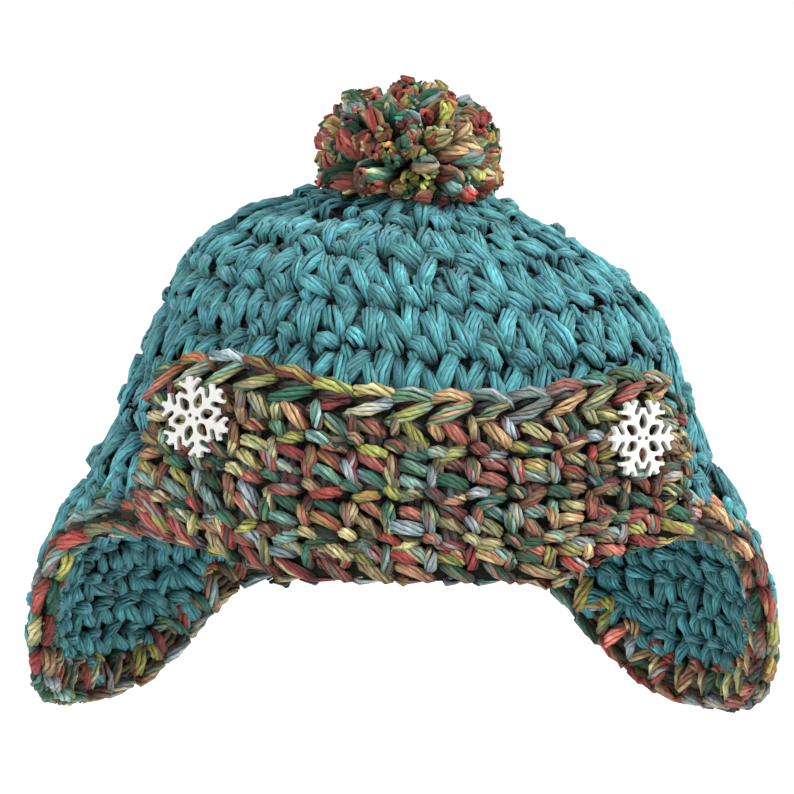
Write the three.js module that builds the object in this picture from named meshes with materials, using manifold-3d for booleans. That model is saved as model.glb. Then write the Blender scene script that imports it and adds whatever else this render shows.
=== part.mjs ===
// A child's crocheted trapper hat: a domed crown with two splayed ear flaps, a turned-up front band
// held by two snowflake buttons, a strip of edging stitches along the hem, and a pompom on top.
//
// Millimetres, +Z up, front of the hat towards -Y. The cloth is one smooth surface, and each
// crocheted piece is a wall laid on it: fabricPoint() gives a point of that surface, lifted off
// it by some distance. Heights are counted from the rim, and the whole hat is then lowered so
// that the origin lies inside the top of the crown, where the head meets it.
import * as THREE from 'three';
import Module from 'manifold-3d';
import { mergeVertices } from 'three/addons/utils/BufferGeometryUtils.js';

const wasm = await Module();
wasm.setup();

const DEGREE = Math.PI / 180;

// The dome, measured on its outside
const crownHeight = 105;
const crownHalfWidth = 84;
const depthToWidth = 0.81;
const depthToWidthAtTop = 0.9;
const domeFullness = 3.3;
const squareness = 2.35;
const squarenessAtTop = 2;
const crownLean = 7.5;

// How the cloth flares out at the sides, and how the flaps' tips draw in again
const rimFlare = { out: 31, back: 12, middle: 10.5, reach: 12.4 };
const flareAngles = { none: 45, full: 85, fading: 140, atNape: 0.4 };
const flapTuck = { start: -35, bend: 0.006 };

// The cloth
const crownWall = 6;
const flapWall = 5;
const edgingWall = 6.6;
const clearance = 0.3;
const roundCount = 12;
const roundRidge = 1.1;

// The lower edge of the hat from the front to the nape, the same on both sides. It goes up a
// little beside the band, down and round the ear flap, and level across the nape.
const hemPoints = [
  { angle: 0, height: -2 },
  { angle: 30, height: -2 },
  { angle: 50, height: 4.5 },
  { angle: 64, height: 7 },
  { angle: 75, height: 3.5 },
  { angle: 82, height: -4 },
  { angle: 86, height: -16 },
  { angle: 88, height: -31 },
  { angle: 92, height: -46 },
  { angle: 100, height: -57.5 },
  { angle: 112, height: -62.5 },
  { angle: 124, height: -61.5 },
  { angle: 133, height: -53 },
  { angle: 141, height: -40 },
  { angle: 147, height: -30.5 },
  { angle: 156, height: -27.5 },
  { angle: 168, height: -27.5 },
  { angle: 180, height: -27.5 },
];
const edgingWidth = 10;
const behindBand = 3.5;
const millimetresPerDegree = 1.85;

// Where the crown's last round ends, above the edging and the flaps
const crownEdgePoints = [
  { angle: 0, height: -1 },
  { angle: 30, height: -1 },
  { angle: 46, height: 4 },
  { angle: 51, height: 7 },
  { angle: 56, height: 17 },
  { angle: 65, height: 18.5 },
  { angle: 72, height: 17 },
  { angle: 80, height: 11 },
  { angle: 90, height: 0 },
  { angle: 105, height: -8 },
  { angle: 125, height: -13 },
  { angle: 145, height: -16 },
  { angle: 165, height: -17 },
  { angle: 180, height: -17 },
];

// The turned-up front band
const bandWall = 7;
const bandRows = 7;
const bandRidge = 0.9;
const bandBulge = 1.5;
const bandEnds = { left: -64.5, right: 62.5 };
const bandTopPoints = [
  { angle: -64.5, height: 54 },
  { angle: -56, height: 61 },
  { angle: -42, height: 64 },
  { angle: -24, height: 59 },
  { angle: 0, height: 55.5 },
  { angle: 24, height: 56 },
  { angle: 50, height: 59 },
  { angle: 62.5, height: 55 },
];

// The snowflake buttons
const buttonSpan = 25;
const buttonThickness = 2.6;
const armWidth = 2.1;
const branchWidth = 1.7;
const hubRadius = 3;
const hubSides = 12;
const branchAngle = 54;
const armBranches = [
  { from: 5, length: 5.4 },
  { from: 8.4, length: 4.6 },
];
const threadHole = { radius: 0.65, fromCentre: 1.35, sides: 6 };
const buttons = [
  { name: 'snowflake_button_left', angle: -49.7, height: 43.5, turn: -13 },
  { name: 'snowflake_button_right', angle: 50.4, height: 39, turn: -5 },
];

// The pompom
const pompomHalfWidth = 28.5;
const pompomRise = 24.6;
const pompomDrop = 12;
const pompomOffset = -2.6;
const pompomMiddle = 112.5;
const pompomSquareness = 3.2;
const tuftCount = 40;
const tuftRadius = 4;
const tuftSides = 5;
const tuftLengths = [-1.2, 1.4, 0.2, -0.4, 2];

const teal = { color: 0x6fa5a4, roughness: 0.9, metalness: 0 };
const mixedYarn = { color: 0x9a8a6c, roughness: 0.9, metalness: 0 };
const whitePlastic = { color: 0xf2efe8, roughness: 0.45, metalness: 0 };

const apexArc = Math.PI / 2;

function mix(low, high, share) {
  return low + (high - low) * share;
}

function ease(low, high, value) {
  return THREE.MathUtils.smoothstep(value, low, high);
}

// A smooth curve through the rows of one of the tables above, in the plane of angle and height.
function curveThrough(rows) {
  return new THREE.CatmullRomCurve3(
    rows.map(({ angle, height }) => new THREE.Vector3(angle * millimetresPerDegree, height, 0)),
    false,
    'centripetal',
  );
}

// The height of such a curve over each angle, as a function.
function heightOver(rows) {
  const points = curveThrough(rows).getPoints(rows.length * 16);
  return (degrees) => {
    const wanted = degrees * millimetresPerDegree;
    const next = points.findIndex((p) => p.x >= wanted);
    const upper = points[next < 0 ? points.length - 1 : Math.max(1, next)];
    const lower = points[next < 0 ? points.length - 2 : Math.max(1, next) - 1];
    const share = THREE.MathUtils.clamp((wanted - lower.x) / (upper.x - lower.x), 0, 1);
    return mix(lower.y, upper.y, share);
  };
}

const crownEdgeOver = heightOver(crownEdgePoints);
const bandTop = heightOver(bandTopPoints);
const frontHemOver = heightOver(hemPoints.filter(({ angle }) => angle <= 75));

function crownEdge(degrees) {
  return crownEdgeOver(Math.abs(degrees));
}

// A point of the cloth's outer surface. degrees runs round from the front, positive to +X.
// arc is 0 at the rim and a quarter turn at the apex, and below the rim it counts down.
function surfacePoint(degrees, arc) {
  const height = arc > 0 ? crownHeight * Math.sin(arc) : crownHeight * arc;
  const share = Math.max(0, height) / crownHeight;
  const turn = Math.abs(degrees) > 180 ? 360 - Math.abs(degrees) : Math.abs(degrees);

  const toSide = ease(flareAngles.none, flareAngles.full, turn);
  const toNape = ease(flareAngles.fading, 180, turn);
  const flare = toSide * mix(1, flareAngles.atNape, toNape)
    / (1 + Math.exp((height - rimFlare.middle) / rimFlare.reach));
  const tuck = flapTuck.bend * Math.max(0, flapTuck.start - height) ** 2;

  const dome = crownHalfWidth * Math.sqrt(Math.max(0, 1 - share ** domeFullness));
  const halfWidth = dome + rimFlare.out * flare - tuck;
  const halfDepth = dome * mix(depthToWidth, depthToWidthAtTop, share ** 3) + rimFlare.back * flare;
  const exponent = mix(squareness, squarenessAtTop, share ** 4);

  const sine = Math.sin(degrees * DEGREE);
  const cosine = Math.cos(degrees * DEGREE);
  const wide = Math.abs(sine) / Math.max(halfWidth, 1e-6);
  const deep = Math.abs(cosine) / Math.max(halfDepth, 1e-6);
  const radius = (wide ** exponent + deep ** exponent) ** (-1 / exponent);
  const lean = crownLean * ease(0.62, 0.92, share) * (1 - ease(0.95, 1, share));
  return new THREE.Vector3(radius * sine - lean, -radius * cosine, height);
}

// The same point lifted off the surface, along its outward normal.
function fabricPoint(degrees, arc, lift) {
  const point = surfacePoint(degrees, arc);
  if (apexArc - arc < 1e-6) {
    return point.add(new THREE.Vector3(0, 0, lift));
  }
  const step = 0.01;
  const upper = Math.min(arc + step, apexArc - 1e-7);
  const around = surfacePoint(degrees + 0.5, arc).sub(surfacePoint(degrees - 0.5, arc));
  const up = surfacePoint(degrees, upper).sub(surfacePoint(degrees, arc - step));
  return point.add(around.cross(up).normalize().multiplyScalar(lift));
}

// arc for a height above the rim, or below it where height is negative.
function arcAt(height) {
  return height > 0 ? Math.asin(Math.min(1, height / crownHeight)) : height / crownHeight;
}

// The hem as evenly spaced places between two of its angles, each with its inward direction.
const hemCurve = curveThrough(hemPoints);

function hemPlaces(fromAngle, toAngle, count) {
  const shareAt = (angle) => {
    const wanted = angle * millimetresPerDegree;
    let low = 0;
    let high = 1;
    for (let k = 0; k < 40; k++) {
      const middle = (low + high) / 2;
      [low, high] = hemCurve.getPointAt(middle).x < wanted ? [middle, high] : [low, middle];
    }
    return low;
  };
  const from = shareAt(fromAngle);
  const to = shareAt(toAngle);
  return Array.from({ length: count }, (_, k) => {
    const share = mix(from, to, k / (count - 1));
    const tangent = hemCurve.getTangentAt(share);
    return { at: hemCurve.getPointAt(share), inward: new THREE.Vector3(-tangent.y, tangent.x, 0) };
  });
}

// The angle and height of the place that lies inside the hem by some width.
function insideHem({ at, inward }, width) {
  const place = at.clone().addScaledVector(inward, width);
  return { degrees: place.x / millimetresPerDegree, height: place.y };
}

// A closed body from rings of points. Each ring is closed. The ends are capped by fans, or the
// last ring joins the first one.
function ringBody(rings, joined) {
  const size = rings[0].length;
  const points = rings.flat();
  const faces = [];
  const ringPairs = joined ? rings.length : rings.length - 1;
  for (let i = 0; i < ringPairs; i++) {
    const here = i * size;
    const next = ((i + 1) % rings.length) * size;
    for (let j = 0; j < size; j++) {
      const k = (j + 1) % size;
      faces.push(here + j, next + j, next + k, here + j, next + k, here + k);
    }
  }
  if (!joined) {
    for (const [ring, flip] of [[0, false], [rings.length - 1, true]]) {
      const centre = new THREE.Vector3();
      rings[ring].forEach((p) => centre.addScaledVector(p, 1 / size));
      points.push(centre);
      for (let j = 0; j < size; j++) {
        const a = ring * size + j;
        const b = ring * size + ((j + 1) % size);
        faces.push(points.length - 1, flip ? b : a, flip ? a : b);
      }
    }
  }
  const geometry = new THREE.BufferGeometry().setFromPoints(points);
  geometry.setIndex(faces);
  return geometry;
}

function solidOf(geometry) {
  geometry.deleteAttribute('normal');
  geometry.deleteAttribute('uv');
  const merged = mergeVertices(geometry, 1e-4);
  const mesh = new wasm.Mesh({
    numProp: 3,
    vertProperties: merged.attributes.position.array,
    triVerts: new Uint32Array(merged.index.array),
  });
  return new wasm.Manifold(mesh);
}

function geometryOf(solid) {
  const { vertProperties, triVerts } = solid.getMesh();
  const geometry = new THREE.BufferGeometry();
  geometry.setAttribute('position', new THREE.BufferAttribute(vertProperties, 3));
  geometry.setIndex(new THREE.BufferAttribute(triVerts, 1));
  return geometry;
}

function namedMesh(name, geometry, look) {
  geometry.computeVertexNormals();
  const mesh = new THREE.Mesh(geometry, new THREE.MeshStandardMaterial(look));
  mesh.name = name;
  return mesh;
}

// The crown: an outer skin with a low ridge for each round of stitches, and a smooth inner one.
// The rings all run through the two apex points, so merging their vertices closes the body.
function makeCrown() {
  const columns = 54;
  const outerRows = roundCount * 2;
  const innerRows = 10;
  const rings = [];
  for (let j = 0; j < columns; j++) {
    const degrees = -180 + (360 * j) / columns;
    const low = arcAt(crownEdge(degrees) + clearance);
    const ring = [];
    for (let i = 0; i < outerRows; i++) {
      const arc = mix(low, apexArc, i / outerRows);
      ring.push(fabricPoint(degrees, arc, i % 2 ? 0 : -roundRidge));
    }
    ring.push(fabricPoint(0, apexArc, -roundRidge));
    ring.push(fabricPoint(0, apexArc, -crownWall));
    for (let i = innerRows - 1; i >= 0; i--) {
      ring.push(fabricPoint(degrees, mix(low, apexArc, i / innerRows), -crownWall));
    }
    rings.push(ring);
  }
  return namedMesh('crown', geometryOf(solidOf(ringBody(rings, true))), teal);
}

// One ear flap: its columns fan from the crown's edge down to the inside of the edging.
function makeFlap(name, side) {
  const columns = 19;
  const rows = 7;
  const outerLift = -0.5;
  const feet = hemPlaces(78, 156, 301)
    .map((place) => insideHem(place, edgingWidth + 1.8 * clearance))
    .filter(({ degrees, height }) => height < crownEdge(degrees) - 3);
  const first = feet[0].degrees;
  const last = feet[feet.length - 1].degrees;
  const rings = [];
  for (let j = 0; j < columns; j++) {
    const share = j / (columns - 1);
    const foot = feet[Math.round(share * (feet.length - 1))];
    const headAngle = mix(first, last, share);
    const headHeight = crownEdge(headAngle) - clearance;
    const pointAt = (i, lift) => {
      const down = i / (rows - 1);
      const degrees = side * mix(headAngle, foot.degrees, down);
      return fabricPoint(degrees, arcAt(mix(headHeight, foot.height, down)), lift);
    };
    const downs = Array.from({ length: rows }, (_, i) => i);
    const outer = downs.map((i) => pointAt(i, outerLift));
    const inner = downs.reverse().map((i) => pointAt(i, outerLift - flapWall));
    rings.push(side > 0 ? [...outer, ...inner].reverse() : [...outer, ...inner]);
  }
  return namedMesh(name, ringBody(rings, false), teal);
}

// The edging: a padded strip along the lower edge, from behind one end of the band round both
// flaps and the nape to its other end. In its section, across is 0 at the hem and thick is a
// share of half the wall.
function makeEdging() {
  const sectionsEachSide = 50;
  const middle = -0.1 - edgingWall / 2;
  const section = [
    { across: 0.12, thick: 1 },
    { across: 0.88, thick: 1 },
    { across: 1, thick: 0.75 },
    { across: 1, thick: -0.75 },
    { across: 0.88, thick: -1 },
    { across: 0.12, thick: -1 },
    { across: 0, thick: -0.45 },
    { across: 0, thick: 0.45 },
  ];
  const places = hemPlaces(bandEnds.right - behindBand, 180, sectionsEachSide);
  const ringAt = (place, side) => section.map(({ across, thick }) => {
    const { degrees, height } = insideHem(place, across * (edgingWidth - clearance));
    return fabricPoint(side * degrees, arcAt(height), middle + (thick * edgingWall) / 2);
  });
  const right = places.map((place) => ringAt(place, 1));
  const left = places.slice(0, -1).reverse().map((place) => ringAt(place, -1));
  return namedMesh('rim_edging', ringBody([...right, ...left], false), mixedYarn);
}

// How far the band's face stands off the cloth, share going up from its fold to its top edge.
function bandFaceLift(share) {
  return clearance + bandWall + bandBulge * Math.sin(Math.PI * share);
}

function bandBottom(degrees) {
  return frontHemOver(Math.abs(degrees));
}

// The front band: a thick strip turned up over the front of the crown, one ridge for each row.
function makeBand() {
  const columns = 29;
  const faceRows = bandRows * 2;
  const backRows = 8;
  const cornerRadius = 6;
  const rings = [];
  for (let j = 0; j < columns; j++) {
    const degrees = mix(bandEnds.left, bandEnds.right, j / (columns - 1));
    const inDegrees = Math.min(degrees - bandEnds.left, bandEnds.right - degrees);
    const fromEnd = inDegrees * millimetresPerDegree;
    const intoCorner = Math.max(0, 1 - fromEnd / cornerRadius);
    const trim = cornerRadius * (1 - Math.sqrt(1 - intoCorner ** 2));
    const low = bandBottom(degrees);
    const high = bandTop(degrees) - trim;
    const ring = [];
    for (let i = 0; i <= faceRows; i++) {
      const share = i / faceRows;
      const lift = bandFaceLift(share) - (i % 2 ? 0 : bandRidge);
      ring.push(fabricPoint(degrees, arcAt(mix(low, high, share)), lift));
    }
    for (let i = backRows; i >= 0; i--) {
      const height = mix(low + 2, high - 1, i / backRows);
      ring.push(fabricPoint(degrees, arcAt(height), 1.5 * clearance));
    }
    rings.push(ring);
  }
  return namedMesh('front_band', ringBody(rings, false), mixedYarn);
}

// The extruded solid of a flat outline of a button, with holes where they are given.
function buttonSlab(points, holes = []) {
  const shape = new THREE.Shape(points);
  holes.forEach((hole) => shape.holes.push(new THREE.Path(hole)));
  return solidOf(new THREE.ExtrudeGeometry(shape, { depth: buttonThickness, bevelEnabled: false }));
}

function polygon(x, radius, sides) {
  const middle = new THREE.Vector2(x, 0);
  return Array.from({ length: sides }, (_, k) => (
    new THREE.Vector2(x + radius, 0).rotateAround(middle, (k / sides) * 2 * Math.PI)));
}

// One bar of the snowflake, from a place on an arm out to its tip.
function snowflakeBar(from, length, width, lean, turn) {
  const centre = new THREE.Vector2();
  const half = width / 2;
  const outline = [[0, -half], [length, -half], [length, half], [0, half]];
  return buttonSlab(outline.map(([along, across]) => (
    new THREE.Vector2(along, across)
      .rotateAround(centre, lean * DEGREE)
      .add(new THREE.Vector2(from, 0))
      .rotateAround(centre, turn * DEGREE))));
}

// A six-armed snowflake lying on its back, centred on its hub, with two holes for thread.
function snowflakeGeometry() {
  const holes = [-1, 1].map((side) => (
    polygon(side * threadHole.fromCentre, threadHole.radius, threadHole.sides).reverse()));
  let flake = buttonSlab(polygon(0, hubRadius, hubSides), holes);
  for (let turn = 0; turn < 360; turn += 60) {
    const root = 0.8 * hubRadius;
    flake = flake.add(snowflakeBar(root, buttonSpan / 2 - root, armWidth, 0, turn));
    for (const { from, length } of armBranches) {
      for (const side of [-1, 1]) {
        flake = flake.add(snowflakeBar(from, length, branchWidth, side * branchAngle, turn));
      }
    }
  }
  return geometryOf(flake);
}

// A button lies on the ridges of the band's face, its back clear of them by the clearance.
function makeButton({ name, angle, height, turn }, geometry) {
  const low = bandBottom(angle);
  const share = (height - low) / (bandTop(angle) - low);
  const lift = bandFaceLift(share) + clearance;
  const arc = arcAt(height);
  const seat = fabricPoint(angle, arc, lift);
  const outward = fabricPoint(angle, arc, lift + 1).sub(seat);
  const across = new THREE.Vector3(0, 0, 1).cross(outward).normalize();
  const up = outward.clone().cross(across);
  const mesh = namedMesh(name, geometry.clone(), whitePlastic);
  mesh.position.copy(seat);
  mesh.setRotationFromMatrix(new THREE.Matrix4().makeBasis(across, up, outward));
  mesh.rotateZ(turn * DEGREE);
  return mesh;
}

// The pompom's outer form: a dome above its middle, squarer below it.
function pompomPoint(polar, azimuth, proud) {
  const sine = Math.sin(polar);
  const cosine = Math.cos(polar);
  const wide = sine / (pompomHalfWidth + proud);
  const tall = Math.abs(cosine) / ((cosine > 0 ? pompomRise : pompomDrop) + proud);
  const exponent = cosine > 0 ? 2.2 : pompomSquareness;
  const radius = (wide ** exponent + tall ** exponent) ** (-1 / exponent);
  const flat = radius * sine;
  return new THREE.Vector3(flat * Math.cos(azimuth), flat * Math.sin(azimuth), radius * cosine);
}

// The top of the crown as a plain solid, which the pompom's underside is cut to.
function crownTopSolid() {
  const columns = 27;
  const rows = 6;
  const rings = [];
  for (let i = 0; i <= rows; i++) {
    const arc = mix(apexArc - 0.55, apexArc - 0.01, i / rows);
    rings.push(Array.from({ length: columns }, (_, j) => (
      fabricPoint((360 * j) / columns, arc, 1.8 * clearance))));
  }
  return solidOf(ringBody(rings.reverse(), false));
}

// The pompom: a core with blunt tufts of cut yarn fused to it, spread by a golden-angle spiral.
function makePompom() {
  const coreInset = -3.5;
  const steps = 9;
  const profile = Array.from({ length: steps + 1 }, (_, i) => {
    const { x, z } = pompomPoint(Math.PI * (1 - i / steps), 0, coreInset);
    return new THREE.Vector2(Math.max(0, x), z);
  });
  const core = new THREE.LatheGeometry(profile, 14);
  core.rotateX(Math.PI / 2);
  core.translate(pompomOffset, 0, pompomMiddle);
  let pompom = solidOf(core);
  const goldenAngle = Math.PI * (3 - Math.sqrt(5));
  for (let k = 0; k < tuftCount; k++) {
    const polar = Math.acos(mix(0.97, -0.36, k / (tuftCount - 1)));
    const foot = pompomPoint(polar, k * goldenAngle, -9);
    const head = pompomPoint(polar, k * goldenAngle, tuftLengths[k % tuftLengths.length]);
    const length = head.distanceTo(foot);
    const tuft = new THREE.CylinderGeometry(tuftRadius, tuftRadius * 0.6, length, tuftSides);
    tuft.translate(0, length / 2, 0);
    const way = head.sub(foot).normalize();
    tuft.applyQuaternion(new THREE.Quaternion().setFromUnitVectors(THREE.Object3D.DEFAULT_UP, way));
    tuft.translate(foot.x + pompomOffset, foot.y, foot.z + pompomMiddle);
    pompom = pompom.add(solidOf(tuft));
  }
  return namedMesh('pompom', geometryOf(pompom.subtract(crownTopSolid())), mixedYarn);
}

const hat = new THREE.Group();
hat.add(makeCrown());
hat.add(makeFlap('ear_flap_left', -1));
hat.add(makeFlap('ear_flap_right', 1));
hat.add(makeEdging());
hat.add(makeBand());
const flake = snowflakeGeometry();
buttons.forEach((button) => hat.add(makeButton(button, flake)));
hat.add(makePompom());
hat.position.z = -(crownHeight - crownWall);

export default hat;
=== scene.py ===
import math

import bmesh
import bpy
import numpy as np
from bpy.props import FloatProperty, FloatVectorProperty, PointerProperty
from mathutils import Matrix, Vector


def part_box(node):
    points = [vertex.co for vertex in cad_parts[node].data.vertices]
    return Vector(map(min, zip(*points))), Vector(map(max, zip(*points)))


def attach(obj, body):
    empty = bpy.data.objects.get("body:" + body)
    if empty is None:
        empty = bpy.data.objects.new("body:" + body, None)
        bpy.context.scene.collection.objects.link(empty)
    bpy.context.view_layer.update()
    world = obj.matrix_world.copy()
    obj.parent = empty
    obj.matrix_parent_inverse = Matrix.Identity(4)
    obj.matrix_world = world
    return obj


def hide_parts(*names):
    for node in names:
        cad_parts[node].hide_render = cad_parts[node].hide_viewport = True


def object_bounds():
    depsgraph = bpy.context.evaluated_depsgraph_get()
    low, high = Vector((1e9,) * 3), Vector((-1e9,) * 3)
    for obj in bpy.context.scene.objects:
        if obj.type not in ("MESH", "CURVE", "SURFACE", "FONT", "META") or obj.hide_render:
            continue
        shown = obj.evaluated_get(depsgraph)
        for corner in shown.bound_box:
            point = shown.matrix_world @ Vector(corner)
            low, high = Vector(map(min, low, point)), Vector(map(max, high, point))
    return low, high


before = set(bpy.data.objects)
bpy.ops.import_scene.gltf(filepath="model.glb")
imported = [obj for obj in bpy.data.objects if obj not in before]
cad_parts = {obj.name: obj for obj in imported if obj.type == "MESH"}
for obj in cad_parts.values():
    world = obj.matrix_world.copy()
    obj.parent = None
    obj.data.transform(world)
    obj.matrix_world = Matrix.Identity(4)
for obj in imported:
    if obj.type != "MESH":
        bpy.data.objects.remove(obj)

CAD_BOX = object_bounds()

bl_info = {
    "name": "Crocheted trapper hat",
    "version": (1, 0, 0),
    "blender": (4, 5, 0),
    "location": "View3D > Sidebar > Hat",
    "description": "Dresses the trapper hat's solids in crochet stitches of plied yarn",
    "category": "Object",
}

MM = 0.001
TURN = 2 * math.pi

# Shape of the cloth as the solids have it: millimetres from the rim, shares of its height and
# width, powers of its rounded outline, and degrees from the front
CROWN_HEIGHT = 105
CROWN_HALF_WIDTH = 84
DEPTH_TO_WIDTH = (0.81, 0.9)
DOME_FULLNESS = 3.3
SQUARENESS = (2.35, 2)
CROWN_LEAN = 7.5
LEAN_SHARES = (0.62, 0.92, 0.95)
FLARE_OUT = 31
FLARE_BACK = 12
FLARE_MIDDLE = 10.5
FLARE_REACH = 12.4
FLARE_ANGLES = (45, 85, 140, 180)
FLARE_AT_NAPE = 0.4
FLAP_TUCK = (-35, 0.006)
RIM_TO_ORIGIN = 99
MM_PER_DEGREE = 1.85

# How deep the stitches of the inside rest, and half of the cloth's wall, in millimetres
INSIDE_DEPTH = 6.2
HALF_WALL = 3.4

# Where the cloth ends, as rows of angle and height: the hem and the crown's edge over the flap
# on half the hat, then the band's top; and in degrees the band's ends and the flap's rear end
HEM = np.array([
    (0, -2), (30, -2), (50, 4.5), (64, 7), (75, 3.5), (82, -4), (86, -16), (88, -31), (92, -46),
    (100, -57.5), (112, -62.5), (124, -61.5), (133, -53), (141, -40), (147, -30.5), (156, -27.5),
    (168, -27.5), (180, -27.5)], float)
CROWN_EDGE = np.array([
    (0, -1), (30, -1), (46, 4), (51, 7), (56, 17), (65, 18.5), (72, 17), (80, 11), (90, 0),
    (105, -8), (125, -13), (145, -16), (165, -17), (180, -17)], float)
BAND_TOP = np.array([
    (-64.5, 54), (-56, 61), (-42, 64), (-24, 59), (0, 55.5), (24, 56), (50, 59), (62.5, 55)], float)
BAND_ENDS = (-64.5, 62.5)
FLAP_END = 150

# Steps of the hem between two of its rows, and neighbours that its normal is averaged with
HEM_STEPS = 12
HEM_SMOOTHING = 8

# How far inside the hem stitches stand, how far they reach under the band, in degrees at its
# ends and in millimetres below its top, and how far those of the flaps reach into the crown
CROWN_MARGIN = 5
INSIDE_MARGIN = 8
FLAP_MARGIN = 7
UNDER_BAND = (5, 22)
FLAP_OVERLAP = 6

# Rows of crochet, in millimetres, where a row's bars lie between its edges, and the angle on
# which rows are measured; then the length of an edging stitch and the edging's width
CROWN_ROW = 18.5
CROWN_BAR_LEVEL = 0.69
ROW_MERIDIAN = 40.0
EDGING_PITCH = 12.4
EDGING_WIDTH = 10

# Section of the band, in millimetres: the radius of its fold and how far that stands above
# the hem, how far its face stands off the cloth, how much that bulges, and how far its
# stitches sink into it; then how far the fold turns under, in radians
BAND_ROLL = 3.6
BAND_OVERHANG = 0.9
BAND_FACE = 7.3
BAND_BULGE = 1.5
BAND_SINK = 0.5
BAND_FOLD_ANGLE = 2.6

# Rows of the band as shares of its height: the first one's middle and the step up, then the
# middle and the height of the braid and of the rolled edge
BAND_FIRST = 0.188
BAND_STEP = 0.251
BAND_BRAID = (0.897, 0.195)
BAND_EDGE = (0.06, 0.16)

# Lumps of a stitch: (across, up, lift) of four controls, then its plies, its width at either
# end as a share, and its twist in turns; across in stitch widths, up in rows, lift in mm.
# The outer lifts are those of the ends, and the inner ones those of the level between them
CROWN_STITCH = {
    "low fill": (((-0.55, -0.3, -3.0), (-0.2, -0.27, -1.3), (0.2, -0.34, -1.3), (0.55, -0.38, -3.0)),
                 5, (1.5, 1.5), 0.1),
    "high fill": (((-0.55, 0.36, -3.0), (-0.2, 0.4, -1.5), (0.2, 0.36, -1.5), (0.55, 0.3, -3.0)),
                  5, (1.5, 1.5), 0.1),
    "short leg": (((0.04, 0.6, -3.4), (0.09, 0.42, -1.2), (0.14, 0.25, -1.2), (0.2, 0.04, -3.4)),
                  4, (0.9, 0.9), 0.12),
    "under leg": (((-0.36, 0.02, -3.4), (-0.3, -0.12, -0.6), (-0.2, -0.26, -0.6), (-0.06, -0.42, -3.4)),
                  4, (1.0, 1.0), 0.12),
    "fan": (((-0.38, 0.1, -3.0), (-0.32, 0.38, 0.6), (-0.2, 0.64, 0.9), (0.08, 0.9, -3.0)),
            6, (0.75, 1.35), 0.14),
    "falling leg": (((0.18, 0.7, -3.0), (0.34, 0.48, 1.0), (0.49, 0.18, 1.4), (0.62, -0.14, -3.2)),
                    5, (1.15, 1.05), 0.2),
    "bar": (((-0.42, 0.07, -2.6), (-0.13, 0.11, 1.9), (0.12, 0.01, 2.1), (0.38, -0.13, -2.4)),
            6, (0.85, 1.2), 0.16),
}
FLAP_STITCH = {
    "fill": (((-0.55, 0.0, -3.0), (-0.2, 0.1, -0.8), (0.2, 0.05, -0.8), (0.55, -0.05, -3.0)),
             5, (1.5, 1.5), 0.1),
    "left leg": (((-0.42, 0.5, -2.6), (-0.4, 0.2, 0.7), (-0.28, -0.2, 0.7), (0.0, -0.48, -2.8)),
                 5, (1.0, 0.9), 0.16),
    "right leg": (((0.04, 0.5, -2.6), (0.06, 0.2, 1.0), (0.2, -0.12, 1.0), (0.5, -0.4, -2.8)),
                  5, (0.95, 1.05), 0.16),
    "bar": (((-0.46, 0.34, -2.6), (-0.2, 0.56, 1.2), (0.12, 0.6, 1.3), (0.44, 0.36, -2.8)),
            5, (0.95, 1.0), 0.16),
}
BAND_STITCH = {
    "back leg": (((-0.15, 0.6, -2.6), (-0.1, 0.2, -0.4), (-0.05, -0.2, -0.4), (0.0, -0.6, -2.6)),
                 6, (1.4, 1.4), 0.1),
    "back bar": (((-0.55, 0.02, -2.6), (-0.2, 0.0, -0.3), (0.2, 0.0, -0.3), (0.55, 0.02, -2.6)),
                 6, (1.3, 1.3), 0.1),
    "low bar": (((-0.44, -0.4, -2.8), (-0.18, -0.36, 0.7), (0.1, -0.46, 0.7), (0.36, -0.54, -2.8)),
                7, (1.2, 1.1), 0.45),
    "post": (((0.4, -0.2, -2.8), (0.45, -0.38, 1.0), (0.48, -0.56, 1.0), (0.5, -0.8, -2.8)),
             7, (1.15, 1.1), 0.35),
    "rising bar": (((-0.46, -0.26, -2.6), (-0.2, -0.18, 1.0), (0.06, -0.08, 1.0), (0.32, -0.1, -2.8)),
                   7, (1.15, 1.05), 0.45),
    "falling bar": (((-0.5, 0.38, -2.6), (-0.22, 0.36, 1.3), (0.08, 0.24, 1.3), (0.36, 0.06, -2.8)),
                    7, (1.25, 1.1), 0.5),
    "apex": (((0.22, 0.0, -2.6), (0.4, 0.06, 1.5), (0.6, 0.0, 1.5), (0.78, -0.16, -2.8)),
             7, (1.05, 1.05), 0.35),
    "cap": (((0.3, 0.62, -2.8), (0.4, 0.46, 1.6), (0.48, 0.3, 1.7), (0.54, 0.06, -2.8)),
            6, (1.1, 1.05), 0.35),
}
BRAID_STITCH = {
    "fill": (((-0.55, -0.1, -3.2), (-0.2, -0.02, -1.0), (0.2, 0.02, -1.0), (0.55, -0.02, -3.2)),
             6, (1.4, 1.4), 0.1),
    "low fill": (((-0.55, -0.62, -3.2), (-0.2, -0.55, -0.7), (0.2, -0.55, -0.7), (0.55, -0.6, -3.2)),
                 6, (1.3, 1.3), 0.3),
    "upper strand": (((-0.66, 0.16, -2.6), (-0.3, 0.4, 0.9), (0.22, 0.42, 1.1), (0.66, 0.06, -2.6)),
                     7, (1.25, 1.15), 0.5),
    "lower strand": (((-0.72, -0.5, -2.6), (-0.35, -0.42, 1.2), (0.14, -0.04, 1.5), (0.6, 0.14, -2.6)),
                     7, (1.3, 1.2), 0.55),
}
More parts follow.
